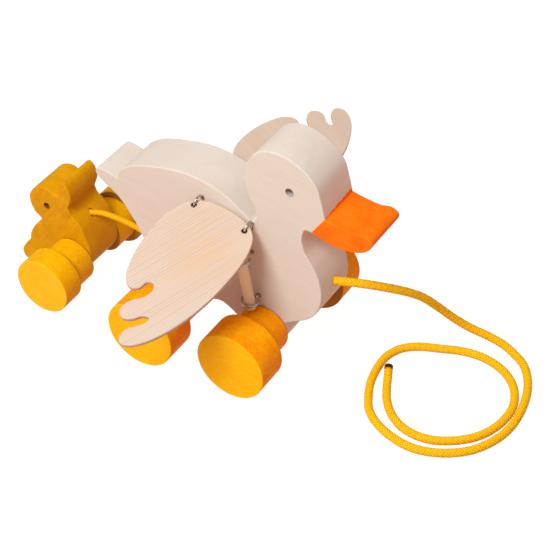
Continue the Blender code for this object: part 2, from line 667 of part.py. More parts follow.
def build():
    clear_scene()
    pine = make_material("pine", (0.80, 0.62, 0.47), 0.62)
    wing_pine = make_material("wing_softwood", (0.84, 0.62, 0.43), 0.6)
    dowel = make_material("dowel", (0.72, 0.48, 0.28), 0.6)
    orange = make_material("orange_stain", (0.95, 0.34, 0.01), 0.45)
    beak = make_material("beak_stain", (0.95, 0.22, 0.01), 0.5)
    yellow = make_material("yellow_stain", (0.85, 0.40, 0.01), 0.5)
    steel = make_material("bright_wire", (0.62, 0.61, 0.58), 0.25, 1.0)
    pull_braid = make_material("pull_cord_braid", (0.95, 0.46, 0.01), 0.85)
    tow_braid = make_material("tow_cord_braid", (0.92, 0.42, 0.01), 0.85)
    build_duck_body(pine, beak)
    for label, side, drop in (("right", -1, RIGHT_WING_DROP), ("left", 1, LEFT_WING_DROP)):
        build_wing(label, side, drop, wing_pine, steel)
        build_push_rod(label, side, drop, dowel, steel)
    build_running_gear(dowel, orange)
    build_duckling(yellow, dowel)
    build_cords(pull_braid, tow_braid)


build()
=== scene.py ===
"""Looks of the pull-along duck: fine wooden pieces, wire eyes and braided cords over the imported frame.

Sizes are in millimetres and MM turns them into metres. +X is the way the duck faces and the floor is Z = 0.
"""

import math

import bmesh
import bpy
from mathutils import Matrix, Vector


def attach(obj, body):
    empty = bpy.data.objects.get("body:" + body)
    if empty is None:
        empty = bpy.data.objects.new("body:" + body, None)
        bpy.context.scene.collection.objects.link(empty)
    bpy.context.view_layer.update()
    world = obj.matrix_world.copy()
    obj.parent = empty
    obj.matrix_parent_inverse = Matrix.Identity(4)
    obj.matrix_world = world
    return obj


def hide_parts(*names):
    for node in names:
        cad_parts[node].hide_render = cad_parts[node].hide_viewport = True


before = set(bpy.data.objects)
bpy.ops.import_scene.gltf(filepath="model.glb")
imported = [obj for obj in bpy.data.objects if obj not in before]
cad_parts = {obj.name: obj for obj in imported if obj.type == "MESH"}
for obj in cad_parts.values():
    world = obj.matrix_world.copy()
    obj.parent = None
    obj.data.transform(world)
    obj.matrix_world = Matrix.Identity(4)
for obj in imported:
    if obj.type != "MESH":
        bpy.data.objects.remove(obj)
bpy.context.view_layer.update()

MM = 0.001

# Fineness of the meshes
OUTLINE_STEP = 1.0
TURN_STEPS = 96
ROD_STEPS = 56
DOME_STEPS = 9
BORE_STEPS = 40
EDGE_STEPS = 4
SHARP = 38.0
TURNED_SHARP = 50.0
CORD_SHARP = 60.0

# Sizes shared with the CAD
GAP = 0.3
HALF_BODY = 17.5
WHEEL_RADIUS = 25.0
WHEEL_WIDTH = 24.0
WHEEL_EDGE = 0.7
AXLE_RADIUS = 5.0
AXLE_SEAT = 14.0
AXLE_EDGE = 0.8
FRONT_AXLE_X = 62.5
REAR_AXLE_X = -4.5
HALF_FRONT_TRACK = 63.2
HALF_REAR_TRACK = 68.4
DRUM_RADIUS = 17.5
DRUM_EDGE = 0.6
DRUM_CLEARANCE = 0.4
CAM_OFFSET = 1.0
CAM_TURN = math.radians(210.0)
HINGE = (14.3, 22.7, 113.05)
HINGE_SLOPE = math.radians(8.1)
HINGE_SPACING = 38.0
HINGE_REACH = 5.2
RIGHT_DROP = math.radians(14.8)
LEFT_DROP = math.radians(7.65)
FRONT_EYE_SINK = 4.0
HINGE_RING = 4.25
HINGE_WIRE = 1.6
HINGE_HOLE_OUT = 4.05
HINGE_HOLE_RADIUS = 1.8
HINGE_EYES = (("rear", 0.0, 0.0), ("front", HINGE_SPACING, FRONT_EYE_SINK))
LOWER_GUIDE = (54.4, 25.4, 49.6)
UPPER_GUIDE = (49.762, 28.035, 84.279)
LOWER_SHANK_X = 56.5
UPPER_SHANK_X = 51.36
GUIDES = (("lower", LOWER_GUIDE, LOWER_SHANK_X), ("upper", UPPER_GUIDE, UPPER_SHANK_X))
GUIDE_RING = 5.6
GUIDE_WIRE = 1.8
SHANK = 11.0
SHANK_BORE = 11.3
ROD_RADIUS = 3.5
ROD_ROUNDING = 1.6
WING_THICKNESS = 3.2
EYE = (79.0, 143.2)
EYE_RADIUS = 3.0
DUCKLING = (-91.4, -6.6, 20.75)
DUCKLING_THICKNESS = 32.0
DUCKLING_EYE = (-19.8, 57.8)
DUCKLING_EYE_RADIUS = 2.4
HALF_DUCKLING_TRACK = 53.0
DUCKLING_WHEEL_WIDTH = 17.2
DUCKLING_AXLE_RADIUS = 4.0
DUCKLING_AXLE_SEAT = 10.0
DUCKLING_DRUM_NEAR = 16.4
DUCKLING_DRUM_RADIUS = 16.5
DUCKLING_CAM_OFFSET = 0.8
DUCKLING_CAM_TURN = math.radians(-35.0)
SIDES = (("right", -1), ("left", 1))
PULL_HOLE = (102.9, 0.0, 70.4)
TOW_MOUTH = (-29.3, 0.0, 44.0)
DUCKLING_MOUTH = (-86.0, -6.6, 51.7)

DUCK_BACK = [
    (-52.4, 101.5, "corner"), (-50.4, 108.6), (-41.3, 116.2), (-22.0, 123.1), (3.8, 127.2), (29.6, 122.5),
    (46.0, 112.4), (51.6, 108.6), (54.8, 112.0),
]
DUCK_HEAD = [
    (54.6, 117.0), (47.4, 135.3), (47.7, 152.4), (57.0, 165.6), (71.0, 169.2), (86.5, 164.6), (97.3, 155.0),
    (101.8, 142.0),
]
DUCK_BEAK = [
    (104.2, 131.9, "corner"), (113.6, 130.2), (123.6, 129.4), (132.5, 130.7), (137.4, 127.4), (134.5, 120.6),
    (125.4, 115.3), (111.5, 113.9), (94.4, 118.2, "corner"),
]
DUCK_CHEST = [
    (90.4, 118.0), (88.0, 110.5), (90.1, 100.2), (97.4, 88.8), (101.8, 77.0), (102.7, 65.3), (100.2, 54.8),
    (93.0, 45.2), (84.0, 39.2), (76.0, 33.8, "corner"),
]
FOOT_RADIUS = 13.8
DUCK_ARCH = [(47.6, 15.4), (38.4, 24.6), (26.0, 30.7), (13.6, 24.6), (7.0, 15.4)]
DUCK_STERN = [
    (-19.6, 20.5), (-27.0, 38.0), (-35.2, 60.5), (-44.0, 75.1), (-53.0, 86.3), (-64.0, 93.6), (-69.6, 98.4),
    (-70.4, 101.8), (-67.6, 104.3), (-62.6, 104.0),
]
WING = [
    (3.0, -2.0), (-4.0, 2.8), (-10.4, 14.6), (-13.0, 33.0), (-11.6, 53.5), (-6.6, 69.8), (-2.0, 74.7), (2.2, 75.6),
    (5.8, 72.9), (7.6, 67.2), (11.4, 66.1), (13.7, 69.6), (12.4, 75.8), (5.6, 84.6), (4.4, 91.8), (8.6, 96.2),
    (14.0, 94.5), (19.6, 88.5), (23.2, 87.8), (22.6, 92.4), (15.8, 101.4), (15.0, 108.0), (18.6, 111.6),
    (24.3, 109.8), (33.2, 99.5), (41.6, 81.3), (46.9, 61.6), (49.6, 40.0), (49.5, 19.6), (45.7, 6.2),
    (38.4, -1.0), (28.0, -3.8), (16.0, -4.2), (8.4, -3.6),
]
DUCKLING_OUTLINE = [
    (-25.8, 43.3), (-31.6, 49.0), (-34.6, 58.8), (-31.2, 67.6), (-21.2, 72.9), (-10.4, 69.8, "corner"),
    (-8.4, 75.2), (-7.4, 80.4), (-4.8, 83.0), (-1.8, 81.6), (0.4, 77.8), (1.3, 72.0), (-1.9, 62.4, "corner"),
    (0.2, 57.4), (4.4, 53.9), (8.6, 49.0), (11.4, 41.6), (14.2, 32.0), (14.6, 23.4), (10.4, 15.0), (3.0, 8.4),
    (-8.0, 5.2), (-24.0, 4.0), (-38.0, 1.4), (-44.4, 1.9), (-46.4, 7.4), (-43.4, 13.8), (-38.2, 20.8, "corner"),
    (-37.2, 26.4), (-32.6, 35.4),
]

# Cord routes, the same points as the CAD's
PULL_RADIUS = 2.7
TOW_RADIUS = 1.9
YARN_PROUD = 0.22
BRAID_DEPTH = 0.26  # share of the radius
PULL_STEP = 0.5
TOW_STEP = 0.4
PULL_AIR = [
    (91.9, 0, 70.4), PULL_HOLE, (117.0, 4.0, 71.6), (132.0, 14.0, 67.2), (143.0, 26.0, 59.0), (149.5, 35.5, 50.2),
    (156.0, 45.5, 37.4), (163.5, 54.0, 25.0), (173.5, 61.0, 15.2), (185.0, 66.0, 9.2), (197.0, 67.0, 5.4),
]
PULL_FLOOR = [
    (207.0, 64.2), (215.6, 57.8), (223.4, 46.6), (228.8, 32.6), (231.6, 17.0), (231.8, 2.0), (228.4, -12.4),
    (219.8, -27.8), (208.4, -37.8), (196.6, -43.6), (184.4, -45.8), (171.2, -44.0), (157.8, -38.6),
    (147.8, -30.8), (141.2, -20.0), (136.2, -8.0), (133.4, 5.6), (133.2, 19.0), (137.6, 30.4), (146.2, 38.2),
    (160.0, 44.4), (174.5, 50.0), (187.0, 51.6), (200.5, 49.2), (212.0, 42.6), (220.2, 33.0), (224.8, 22.0),
    (225.8, 10.0), (223.4, -3.0), (217.4, -15.4), (207.8, -25.4), (196.2, -32.4), (184.4, -34.9),
    (172.6, -33.0), (161.4, -26.2), (153.2, -17.0), (147.8, -7.4),
]
PULL_TIP = [(143.9, 1.1, 4.4), (140.3, 9.0, 6.2)]
TOW_AIR = [
    (-81.0, -6.0, 53.2), (-74.6, -5.3, 54.2), (-66.0, -4.3, 53.7), (-56.6, -3.2, 52.1), (-47.0, -2.0, 49.2),
    (-37.6, -0.7, 45.7),
]
TOW_SEAT = 1.5
TOW_BORE = 2.7

# Camera and light in metres, floor and backdrop in millimetres
CAMERA_PLACE = (0.5031, -0.7284, 0.7905)
CAMERA_TARGET = (0.058, 0.0, 0.0547)
CAMERA_LENS = 112.6
KEY_PLACE = (-0.06, -0.92, 1.28)
KEY_TARGET = (0.03, 0.0, 0.06)
KEY_SIZE = 0.55
KEY_POWER = 22.5
FLOOR_HALF = 3000.0
FLOOR_DROP = 0.05
FLOOR_GLOW = 0.97
WALL_RADIUS = 2900.0
WALL_BEND = 900.0
WALL_HEIGHT = 6000.0

# Colour of painted shade: round the shank mouths, in the eye and hinge holes, and where turned pieces meet
PAINTED_SHADE_BROWN = (0.16, 0.06, 0.025)


# Curves and outlines

def curve_span(p0, p1, p2, p3, step):
    """Points from p1 up to p2 on a smooth curve through all four."""
    count = max(1, round((p2 - p1).length / step))
    k1, k2, k3 = (math.sqrt(d.length) for d in (p1 - p0, p2 - p1, p3 - p2))
    leave = (p1 - p0) / k1 - (p2 - p0) / (k1 + k2) + (p2 - p1) / k2
    arrive = (p2 - p1) / k2 - (p3 - p1) / (k2 + k3) + (p3 - p2) / k3
    span = []
    for i in range(count):
        t = i / count
        blend = t * t * (3 - 2 * t)
        bulge = leave * t * (1 - t) ** 2 - arrive * t * t * (1 - t)
        span.append(p1 * (1 - blend) + p2 * blend + k2 * bulge)
    return span


def closed_outline(points, step=OUTLINE_STEP):
    """A closed curve through the points, sharp at each marked corner."""
    flat = [Vector(p[:2]) for p in points]
    corners = [i for i, p in enumerate(points) if len(p) > 2]
    count = len(flat)
    found = []
    for i in range(count):
        before, after, beyond = flat[i - 1], flat[(i + 1) % count], flat[(i + 2) % count]
        if i in corners:
            before = 2 * flat[i] - after
        if (i + 1) % count in corners:
            beyond = 2 * after - flat[i]
        found += curve_span(before, flat[i], after, beyond, step)
    return found


def smooth_run(points, step):
    """An open curve through the points."""
    vectors = [Vector(p) for p in points]
    padded = [2 * vectors[0] - vectors[1], *vectors, 2 * vectors[-1] - vectors[-2]]
    found = []
    for group in zip(padded, padded[1:], padded[2:], padded[3:]):
        found += curve_span(*group, step)
    return [*found, vectors[-1]]


def even_run(points, step):
    """The same line with its points evenly spaced, and its length."""
    places = [0.0]
    for a, b in zip(points, points[1:]):
        places.append(places[-1] + (b - a).length)
    count = max(2, round(places[-1] / step))
    found = []
    j = 0
    for i in range(count + 1):
        at = places[-1] * i / count
        while j < len(points) - 2 and places[j + 1] < at:
            j += 1
        share = (at - places[j]) / (places[j + 1] - places[j])
        found.append(points[j].lerp(points[j + 1], min(1.0, share)))
    return found, places[-1]


def foot_arc(axle_x, start, end, steps=6):
    """The body's rounded foot about an axle, between two angles in degrees."""
    arc = []
    for i in range(steps + 1):
        angle = math.radians(start + (end - start) * i / steps)
        arc.append((axle_x + FOOT_RADIUS * math.cos(angle), WHEEL_RADIUS + FOOT_RADIUS * math.sin(angle)))
    return arc


# Solids

def add_piece(name, source, matrix, material, sharp=SHARP):
    """A named object from a bmesh in millimetres, smooth but for edges sharper than the given angle."""
    bmesh.ops.recalc_face_normals(source, faces=source.faces)
    bmesh.ops.scale(source, vec=(MM, MM, MM), verts=source.verts)
    mesh = bpy.data.meshes.new(name)
    source.to_mesh(mesh)
    source.free()
    made = bpy.data.objects.new(name, mesh)
    bpy.context.scene.collection.objects.link(made)
    made.matrix_world = matrix
    if material:
        mesh.materials.append(material)
    smooth(made, sharp)
    return made


def smooth(made, sharp):
    made.data.polygons.foreach_set("use_smooth", [True] * len(made.data.polygons))
    made.data.set_sharp_from_angle(angle=math.radians(sharp))


def even_shading(piece):
    """Shading that follows the large faces, so that rounded edges catch the light alone."""
    weighted = piece.modifiers.new("face normals", "WEIGHTED_NORMAL")
    weighted.keep_sharp = True
    weighted.weight = 90
    return piece


def at(place, axes=None):
    """The matrix of a place in millimetres, with the axes given or those of the shared frame."""
    matrix = Matrix.Identity(4)
    if axes:
        matrix = Matrix(axes).transposed().to_4x4()
    matrix.translation = Vector(place) * MM
    return matrix


def inset_ring(outline, depth):
    """The outline moved inwards by the depth."""
    area = sum(a.x * b.y - b.x * a.y for a, b in zip(outline, outline[1:] + outline[:1]))
    sign = 1 if area > 0 else -1
    moved = []
    for i, p in enumerate(outline):
        back = (p - outline[i - 1]).normalized()
        ahead = (outline[(i + 1) % len(outline)] - p).normalized()
        inward = Vector((-back.y - ahead.y, back.x + ahead.x)) * sign
        inward.normalize()
        lean = max(0.7, inward.dot(Vector((-ahead.y, ahead.x)) * sign))
        moved.append(p + inward * depth / lean)
    return moved


def board(name, outline, place, thickness, edge, matrix, material, bores):
    """A board with rounded edges and drilled holes. place turns (u, v, height) into a local point."""
    made = bmesh.new()
    rings = []
    levels = [math.pi / 2 * i / EDGE_STEPS for i in range(EDGE_STEPS + 1)]
    for end, angles in ((-1, levels), (1, levels[::-1])):
        for angle in angles:
            ring = inset_ring(outline, edge * (1 - math.sin(angle)))
            height = end * (thickness / 2 - edge * (1 - math.cos(angle)))
            rings.append([made.verts.new(place(p.x, p.y, height)) for p in ring])
    for low, high in zip(rings, rings[1:]):
        for i in range(len(outline)):
            after = (i + 1) % len(outline)
            made.faces.new((low[i], low[after], high[after], high[i]))
    made.faces.new(rings[0])
    made.faces.new(rings[-1])
    piece = add_piece(name, made, matrix, material)
    drill(piece, bores)
    return even_shading(piece)


def drill(piece, bores):
    """Cuts holes, each a start, a direction, a radius and a length in the shared frame."""
    made = bmesh.new()
    for start, direction, radius, length in bores:
        turn = Vector(direction).to_track_quat("Z", "Y").to_matrix().to_4x4()
        middle = Vector(start) + Vector(direction).normalized() * length / 2
        bmesh.ops.create_cone(
            made, cap_ends=True, segments=BORE_STEPS, radius1=radius, radius2=radius, depth=length,
            matrix=Matrix.Translation(middle) @ turn,
        )
    cutter = add_piece("cutter", made, Matrix.Identity(4), None)
    cut = piece.modifiers.new("bores", "BOOLEAN")
    cut.operation = "DIFFERENCE"
    cut.solver = "EXACT"
    cut.object = cutter
    bpy.context.view_layer.update()
    graph = bpy.context.evaluated_depsgraph_get()
    bored = bpy.data.meshes.new_from_object(piece.evaluated_get(graph))
    piece.modifiers.clear()
    piece.data = bored
    smooth(piece, SHARP)
    bpy.data.objects.remove(cutter, do_unlink=True)


def turned(name, profile, matrix, material, shift=(0.0, 0.0), closed=False, steps=TURN_STEPS):
    """A solid of revolution about local Y: profile is (radius, place along Y, 1 if it takes the shift)."""
    made = bmesh.new()
    rings = []
    for radius, along, *moved in profile:
        off = shift if moved and moved[0] else (0.0, 0.0)
        ring = []
        for i in range(1 if radius == 0 else steps):
            angle = 2 * math.pi * i / steps
            ring.append(made.verts.new((off[0] + radius * math.cos(angle), along, off[1] + radius * math.sin(angle))))
        rings.append(ring)
    pairs = list(zip(rings, rings[1:])) + ([(rings[-1], rings[0])] if closed else [])
    for low, high in pairs:
        for i in range(steps):
            after = (i + 1) % steps
            corners = [low[i % len(low)], low[after % len(low)], high[after % len(high)], high[i % len(high)]]
            made.faces.new(list(dict.fromkeys(corners)))
    return even_shading(add_piece(name, made, matrix, material, TURNED_SHARP))


def rim(radius, edge, along, sign, steps=5):
    """Profile points of a rounded edge, from the side of the disc to its face."""
    points = []
    for i in range(steps + 1):
        angle = math.pi / 2 * i / steps
        points.append((radius - edge + edge * math.cos(angle), along - sign * edge * (1 - math.sin(angle)), 1))
    return points


def wheel(name, axle, side, half_track, radius, width, axle_radius, seat, material):
    """A plain disc with a blind hole, as deep as the seat, for its axle."""
    outer, inner = side * half_track, side * (half_track - width)
    bore = axle_radius + GAP
    profile = [(0, outer), *rim(radius, WHEEL_EDGE, outer, side)[::-1], *rim(radius, WHEEL_EDGE, inner, -side)]
    profile += [(bore, inner), (bore, inner + side * seat), (0, inner + side * seat)]
    return turned(name, profile, at(axle), material)


def drum(name, axle, side, near, far, radius, bore, shift, material):
    """A disc bored through for its axle, with its rim shifted off the axle."""
    near, far = side * near, side * far
    profile = [(bore, near), *rim(radius, DRUM_EDGE, near, -side, 3)[::-1]]
    profile += [*rim(radius, DRUM_EDGE, far, side, 3), (bore, far)]
    return turned(name, profile, at(axle), material, shift, True)


def rod(name, low, length, radius, edge, dome, matrix, material):
    """A dowel along local Y from low, with a rounded foot and a round or a rounded top."""
    profile = [(0, low), *rim(radius, edge, low, -1)[::-1]]
    if dome:
        for i in range(DOME_STEPS):
            angle = math.pi / 2 * i / DOME_STEPS
            profile.append((radius * math.cos(angle), low + length + radius * math.sin(angle)))
        profile.append((0, low + length + radius))
    else:
        profile += [*rim(radius, edge, low + length, 1), (0, low + length)]
    return turned(name, profile, matrix, material, steps=ROD_STEPS)


def sweep(name, points, radius, sides, matrix, material, lift=None):
    """A tube along the points. lift gives the height of the surface, 0 to 1, at (distance, angle)."""
    made = bmesh.new()
    lengths = [0.0]
    for a, b in zip(points, points[1:]):
        lengths.append(lengths[-1] + (b - a).length)
    tangents = []
    for i in range(len(points)):
        tangents.append((points[min(i + 1, len(points) - 1)] - points[max(i - 1, 0)]).normalized())
    normal = tangents[0].orthogonal().normalized()
    height = made.verts.layers.float.new("lift")
    travel = made.verts.layers.float.new("travel")
    rings = []
    for i, p in enumerate(points):
        normal = (normal - tangents[i] * normal.dot(tangents[i])).normalized()
        other = tangents[i].cross(normal)
        ring = []
        for j in range(sides):
            angle = 2 * math.pi * j / sides
            up = lift(lengths[i], angle) if lift else 1.0
            reach = radius - (1.0 - up) * BRAID_DEPTH * radius if lift else radius
            spot = made.verts.new(p + (normal * math.cos(angle) + other * math.sin(angle)) * reach)
            spot[height] = up
            spot[travel] = lengths[i] / lengths[-1]
            ring.append(spot)
        rings.append(ring)
    for low, high in zip(rings, rings[1:]):
        for j in range(sides):
            after = (j + 1) % sides
            made.faces.new((low[j], low[after], high[after], high[j]))
    for ring, tip in ((rings[0], points[0]), (rings[-1], points[-1])):
        centre = made.verts.new(tip)
        centre[travel] = ring[0][travel]
        centre[height] = 0.5
        for j in range(sides):
            made.faces.new((ring[j], ring[(j + 1) % sides], centre))
    return add_piece(name, made, matrix, material, CORD_SHARP)


def braid(strands, gap):
    """Height of a two-over-two-under braid with that many strands each way, gap apart along the cord."""
    def lift(along, angle):
        around = strands * angle / (2 * math.pi)
        u, v = around + along / gap, around - along / gap
        over = (math.floor(u) + math.floor(v)) % 4 < 2
        share = (u if over else v) % 1.0
        other = (v if over else u) % 1.0
        crown = 1 - (2 * share - 1) ** 2
        return math.sqrt(max(0.0, crown)) * (0.82 + 0.18 * math.sin(math.pi * other))
    return lift


def screw_eye(name, centre, out, across, radius, wire, reach, material):
    """A wire ring about the centre, open by a gap, on a straight shank that starts a reach away in the wood."""
    out, across, centre = Vector(out).normalized(), Vector(across).normalized(), Vector(centre)
    bend, mouth = 1.0, math.radians(38.0)
    bend_steps, ring_steps = 8, 56
    bend_at = math.sqrt(radius * radius + 2 * radius * bend)
    path = [centre - out * (reach + share * SHANK) for share in (1.0, 0.5, 0.0)]
    turn_end = math.atan2(bend_at, bend)
    for i in range(bend_steps + 1):
        angle = turn_end * i / bend_steps
        side = bend * (1 - math.cos(angle))
        path.append(centre + across * side - out * (bend_at - bend * math.sin(angle)))
    start = math.atan2(bend, bend_at)
    full = 2 * math.pi - mouth - start
    for i in range(1, ring_steps + 1):
        angle = start + full * i / ring_steps
        path.append(centre - out * radius * math.cos(angle) + across * radius * math.sin(angle))
    return sweep(name, path, wire / 2, 16, Matrix.Identity(4), material)


# Materials

class Shade:
    """A material's nodes, with short calls for the kinds used here. Lengths inside are in millimetres."""

    def __init__(self, name):
        self.material = bpy.data.materials.new(name)
        self.material.use_nodes = True
        self.tree = self.material.node_tree
        self.shader = self.tree.nodes["Principled BSDF"]

    def node(self, kind, values, **settings):
        made = self.tree.nodes.new("ShaderNode" + kind)
        for key, value in settings.items():
            setattr(made, key, value)
        for key, value in values.items():
            if isinstance(value, bpy.types.NodeSocket):
                self.tree.links.new(value, made.inputs[key])
            else:
                made.inputs[key].default_value = value
        return made

    def math(self, operation, a, b=0.0, c=0.0):
        return self.node("Math", {0: a, 1: b, 2: c}, operation=operation).outputs[0]

    def vector(self, operation, a, b):
        return self.node("VectorMath", {0: a, 1: b}, operation=operation).outputs[0]

    def local(self):
        """The piece's own coordinates in millimetres."""
        return self.vector("MULTIPLY", self.node("TexCoord", {}).outputs["Object"], (1 / MM, 1 / MM, 1 / MM))

    def split(self, vector):
        return self.node("SeparateXYZ", {0: vector}).outputs

    def noise(self, vector, scale, detail=2.0, rough=0.5):
        scaled = self.vector("MULTIPLY", vector, scale) if isinstance(scale, tuple) else vector
        size = 1.0 if isinstance(scale, tuple) else scale
        made = self.node("TexNoise", {"Vector": scaled, "Scale": size, "Detail": detail, "Roughness": rough})
        return made.outputs["Fac"]

    def fit(self, value, low, high, to_low, to_high):
        made = self.node("MapRange", {0: value, 1: low, 2: high, 3: to_low, 4: to_high}, clamp=True)
        return made.outputs[0]

    def mix(self, share, a, b, blend="MIX"):
        made = self.node("Mix", {0: share}, data_type="RGBA", blend_type=blend)
        for socket, value in ((made.inputs[6], a), (made.inputs[7], b)):
            if isinstance(value, bpy.types.NodeSocket):
                self.tree.links.new(value, socket)
            else:
                socket.default_value = (*value, 1.0)
        return made.outputs[2]

    def ramp(self, value, stops):
        made = self.node("ValToRGB", {0: value})
        while len(made.color_ramp.elements) < len(stops):
            made.color_ramp.elements.new(1.0)
        for element, (place, level) in zip(made.color_ramp.elements, stops):
            element.position = place
            element.color = (level, level, level, 1.0)
        return made.outputs[0]

    def set(self, **values):
        for key, value in values.items():
            socket = self.shader.inputs[key.replace("_", " ").title().replace("Ior", "IOR")]
            if isinstance(value, bpy.types.NodeSocket):
                self.tree.links.new(value, socket)
            elif isinstance(value, tuple):
                socket.default_value = (*value, 1.0)
            else:
                socket.default_value = value

    def facing(self, axis):
        """1 where the surface faces along the piece's own axis 0, 1 or 2, 0 where it runs along it."""
        normal = self.split(self.node("TexCoord", {}).outputs["Normal"])[axis]
        return self.fit(self.math("ABSOLUTE", normal), 0.5, 0.85, 0.0, 1.0)

    def rings(self, u, v, spots, inner, outer):
        """1 inside the inner radius of any of the spots, 0 outside the outer one."""
        total = 0.0
        for a, b in spots:
            du, dv = self.math("SUBTRACT", u, a), self.math("SUBTRACT", v, b)
            reach = self.math("SQRT", self.math("MULTIPLY_ADD", du, du, self.math("MULTIPLY", dv, dv)))
            total = self.math("ADD", self.fit(reach, inner, outer, 1.0, 0.0), total)
        return total

    def specks(self, place, colour, scale, share, dark):
        """The colour with a few small dark specks in it."""
        spots = self.node("TexVoronoi", {"Vector": self.vector("MULTIPLY", place, scale), "Scale": 1.0})
        near = self.fit(spots.outputs["Distance"], 0.02, 0.05, 1.0, 0.0)
        some = self.math("GREATER_THAN", self.split(spots.outputs["Color"])[0], 1.0 - share)
        return self.mix(self.math("MULTIPLY", near, some), colour, dark)

    def bump(self, height, strength, distance):
        made = self.node("Bump", {"Height": height, "Strength": strength, "Distance": distance * MM})
        self.tree.links.new(made.outputs[0], self.shader.inputs["Normal"])


def grain(shade, turn, shift, gap, pith, sway, faint=0.45):
    """Solid wood with its grain along X after the turn: (place, ring line 0-1, fibre 0-1, slow tone 0-1)."""
    local = shade.node("TexCoord", {}).outputs["Object"]
    size = 1 / MM
    place = shade.node(
        "Mapping", {"Vector": local, "Location": shift, "Rotation": turn, "Scale": (size, size, size)}
    ).outputs[0]
    slow = shade.node("TexNoise", {"Vector": shade.vector("MULTIPLY", place, (0.006, 0.022, 0.022)),
                                   "Scale": 1.0, "Detail": 2.0}).outputs["Color"]
    swayed = shade.vector("ADD", place, shade.vector("MULTIPLY", slow, (sway, sway, sway)))
    _, y, z = shade.split(swayed)
    off_y = shade.math("SUBTRACT", y, pith[0])
    off_z = shade.math("SUBTRACT", z, pith[1])
    reach = shade.math("SQRT", shade.math("ADD", shade.math("MULTIPLY", off_y, off_y),
                                          shade.math("MULTIPLY", off_z, off_z)))
    years = shade.math("DIVIDE", reach, gap)
    line = shade.ramp(shade.math("FRACT", years), [(0.0, 0.1), (0.45, 0.18), (0.8, 0.9), (0.9, 1.0), (1.0, 0.1)])
    whole = shade.math("FLOOR", years)
    strong = shade.node("TexWhiteNoise", {"W": whole}, noise_dimensions="1D").outputs["Value"]
    line = shade.math("MULTIPLY", line, shade.fit(strong, 0.0, 1.0, faint, 1.0))
    fibre = shade.noise(place, (0.05, 2.4, 2.4), 4.0, 0.65)
    tone = shade.noise(place, (0.012, 0.05, 0.05), 2.0)
    return place, line, fibre, tone


def plain_wood(name, light, dark, warm, turn=(0, 0, 0), shift=(0, 0, 0), gap=1.5, pith=(70, -160), sway=7.0,
               contrast=0.5, streak=0.12, specks=0.0, faint=0.45, flat=None, edge=0.4):
    """Bare wood. flat is the axis that its broad sides face; on its narrow sides the lines fade to edge."""
    shade = Shade(name)
    place, line, fibre, tone = grain(shade, turn, shift, gap, pith, sway, faint)
    if flat is not None:
        line = shade.math("MULTIPLY", line, shade.fit(shade.facing(flat), 0.0, 1.0, edge, 1.0))
    colour = shade.mix(shade.math("MULTIPLY", line, contrast), light, dark)
    colour = shade.mix(shade.fit(tone, 0.35, 0.75, 0.0, 0.6), colour, warm)
    level = shade.fit(fibre, 0.25, 0.75, 1.0 - streak, 1.0 + streak * 0.35)
    colour = shade.mix(1.0, colour, shade.node("CombineColor", {0: level, 1: level, 2: level}).outputs[0], "MULTIPLY")
    if specks:
        colour = shade.specks(place, colour, (0.06, 0.1, 0.1), specks, (0.22, 0.11, 0.06))
    height = shade.math("SUBTRACT", fibre, shade.math("MULTIPLY", line, 0.5))
    shade.bump(height, 0.35, 0.12)
    shade.set(roughness=shade.fit(fibre, 0.2, 0.8, 0.5, 0.68), specular_ior_level=0.04)
    return shade, place, colour


def stain(shade, place, fibre_turn, light, deep, patch=0.5):
    """Stain that has soaked in unevenly, and its fine figure. patch is the share of the large clouds in it."""
    cloud = shade.noise(place, 0.07, 3.0, 0.55)
    fine = shade.noise(place, fibre_turn, 3.0, 0.6)
    dense = shade.fit(shade.math("ADD", shade.math("MULTIPLY", cloud, patch), shade.math("MULTIPLY", fine, 1 - patch)),
                      0.38, 0.62, 0.0, 1.0)
    return shade.mix(dense, light, deep), fine


def duck_wood():
    """Pale planed plank, with the beak dipped in orange stain up to a hand-painted line."""
    shade, place, colour = plain_wood(
        "pine_plank", (0.735, 0.652, 0.556), (0.585, 0.43, 0.325), (0.705, 0.592, 0.485),
        turn=(0, math.radians(-12), 0), gap=2.1, pith=(40, -230), sway=5.0, contrast=0.4, streak=0.11, specks=0.05,
        flat=1, edge=0.3,
    )
    local = shade.local()
    x, y, z = shade.split(local)
    wander = shade.fit(shade.noise(local, 0.45, 2.0), 0.3, 0.7, -0.5, 0.5)
    border = shade.math("MULTIPLY_ADD", shade.math("SUBTRACT", z, 118.1), 0.637, 93.9)
    border = shade.math("MULTIPLY_ADD", y, -0.046, border)
    ahead = shade.math("ADD", shade.math("SUBTRACT", x, border), wander)
    painted = shade.math("MULTIPLY", shade.fit(ahead, -0.15, 0.15, 0.0, 1.0), shade.math("GREATER_THAN", z, 111.0))
    beak, _ = stain(shade, place, (0.08, 1.6, 1.6), (1.0, 0.215, 0.005), (0.88, 0.125, 0.002))
    # Painted shade round the mouths of the guide and hinge shanks
    mouths = [(shank_x, guide[2]) for _, guide, shank_x in GUIDES] + [(HINGE[0], HINGE[2])]
    bore_shade = shade.math("MULTIPLY", shade.rings(x, z, mouths, 1.2, 2.4), 0.7)
    colour = shade.mix(bore_shade, colour, PAINTED_SHADE_BROWN)
    # Painted shade, greyish, on the wall of the eye hole
    eye = shade.rings(x, z, [EYE], EYE_RADIUS + 0.02, EYE_RADIUS + 0.25)
    colour = shade.mix(shade.math("MULTIPLY", eye, 0.5), colour, (0.30, 0.24, 0.23))
    shade.set(base_color=shade.mix(painted, colour, beak))
    return shade.material


